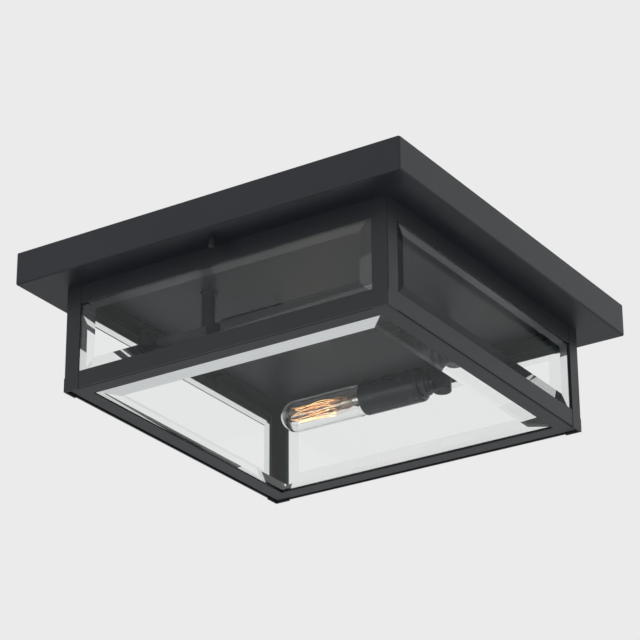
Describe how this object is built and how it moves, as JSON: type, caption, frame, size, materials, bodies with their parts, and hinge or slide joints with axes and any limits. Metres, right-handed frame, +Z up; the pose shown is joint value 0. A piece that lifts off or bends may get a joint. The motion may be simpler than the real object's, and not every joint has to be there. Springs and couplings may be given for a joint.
{
  "type": "ceiling lantern",
  "caption": "Square flush porch ceiling lantern: canopy pan, bevelled-glass cage with a hinged glass door below, and level tubular bulbs.",
  "frame": {"origin": "centre of the canopy's rim, in the ceiling plane, where the mounting crossbar is fixed", "axes": "+Z up into the ceiling; -Y the front, where the door opens; +Y the back, along the door's hinge"},
  "size_m": [0.4064, 0.4064, 0.1325],
  "materials": {
    "bare_copper": "bare",
    "black_phenolic": "moulded",
    "black_powder_coat": "fine-textured satin powder coat",
    "bulb_glass": "clear, faintly amber",
    "clear_glass": "clear bevelled plate",
    "filament_wire": "glowing wire",
    "green_steel": "green",
    "magnet_nickel": "nickel plated",
    "nickelled_brass": "satin",
    "white_nylon": "moulded",
    "wire_insulation": "smooth insulation",
    "zinc_plated_steel": "zinc plated"
  },
  "bodies": {
    "lantern": {"arm_collars": "black_powder_coat", "arm_lock_nuts": "zinc_plated_steel", "bottom_rail_back": "black_powder_coat", "bottom_rail_front": "black_powder_coat", "bottom_rail_left": "black_powder_coat", "bottom_rail_right": "black_powder_coat", "cage_screws": "zinc_plated_steel", "canopy_pan": "black_powder_coat", "cap_nuts": "black_powder_coat", "corner_post_back_left": "black_powder_coat", "corner_post_back_right": "black_powder_coat", "corner_post_front_left": "black_powder_coat", "corner_post_front_right": "black_powder_coat", "door_catch_magnets": "magnet_nickel", "door_hinge_pins": "zinc_plated_steel", "glass_clips": "black_powder_coat", "ground_screw": "green_steel", "ground_wire": "bare_copper", "lamp_1_arm": "black_powder_coat", "lamp_1_hub": "black_powder_coat", "lamp_1_leads": "wire_insulation", "lamp_1_neck": "black_powder_coat", "lamp_1_screw_shell": "nickelled_brass", "lamp_1_socket_body": "black_phenolic", "lamp_1_socket_cover": "black_powder_coat", "lamp_2_arm": "black_powder_coat", "lamp_2_hub": "black_powder_coat", "lamp_2_leads": "wire_insulation", "lamp_2_neck": "black_powder_coat", "lamp_2_screw_shell": "nickelled_brass", "lamp_2_socket_body": "black_phenolic", "lamp_2_socket_cover": "black_powder_coat", "mounting_crossbar": "zinc_plated_steel", "mounting_studs": "zinc_plated_steel", "side_glass_back": "clear_glass", "side_glass_front": "clear_glass", "side_glass_left": "clear_glass", "side_glass_right": "clear_glass", "socket_contacts": "nickelled_brass", "stud_lock_nuts": "zinc_plated_steel", "terminal_block": "white_nylon", "top_rail_back": "black_powder_coat", "top_rail_front": "black_powder_coat", "top_rail_left": "black_powder_coat", "top_rail_right": "black_powder_coat"},
    "door": {"bottom_glass": "clear_glass", "door_rail_front": "black_powder_coat", "door_rail_right": "black_powder_coat", "door_rail_back": "black_powder_coat", "door_rail_left": "black_powder_coat"},
    "bulb_1": {"lamp_1_bulb_base": "nickelled_brass", "lamp_1_bulb_filament": "filament_wire", "lamp_1_bulb_glass": "bulb_glass", "lamp_1_bulb_stem": "bulb_glass"},
    "bulb_1_tip": {"lamp_1_bulb_tip": "nickelled_brass"},
    "bulb_2": {"lamp_2_bulb_base": "nickelled_brass", "lamp_2_bulb_filament": "filament_wire", "lamp_2_bulb_glass": "bulb_glass", "lamp_2_bulb_stem": "bulb_glass"},
    "bulb_2_tip": {"lamp_2_bulb_tip": "nickelled_brass"}
  },
  "joints": [
    {"name": "door_swing", "type": "hinge", "parent": "lantern", "child": "door", "pos_m": [0, 0.1626, -0.1276], "axis": [1, 0, 0], "range_deg": [0, 90]},
    {"name": "bulb_1_advance", "type": "slide", "parent": "lantern", "child": "bulb_1_tip", "axis": [-1, 0, 0], "range_m": [0, 0.02]},
    {"name": "bulb_1_turn", "type": "hinge", "parent": "bulb_1_tip", "child": "bulb_1", "pos_m": [0, 0.091, -0.08], "axis": [-1, 0, 0], "range_deg": [0, 1980]},
    {"name": "bulb_2_advance", "type": "slide", "parent": "lantern", "child": "bulb_2_tip", "axis": [1, 0, 0], "range_m": [0, 0.02]},
    {"name": "bulb_2_turn", "type": "hinge", "parent": "bulb_2_tip", "child": "bulb_2", "pos_m": [0, -0.091, -0.08], "axis": [1, 0, 0], "range_deg": [0, 1980]}
  ],
  "couplings": [
    {"joint": "bulb_1_advance", "follows": "bulb_1_turn", "m_per_rad": 0.00057773},
    {"joint": "bulb_2_advance", "follows": "bulb_2_turn", "m_per_rad": 0.00057773}
  ]
}
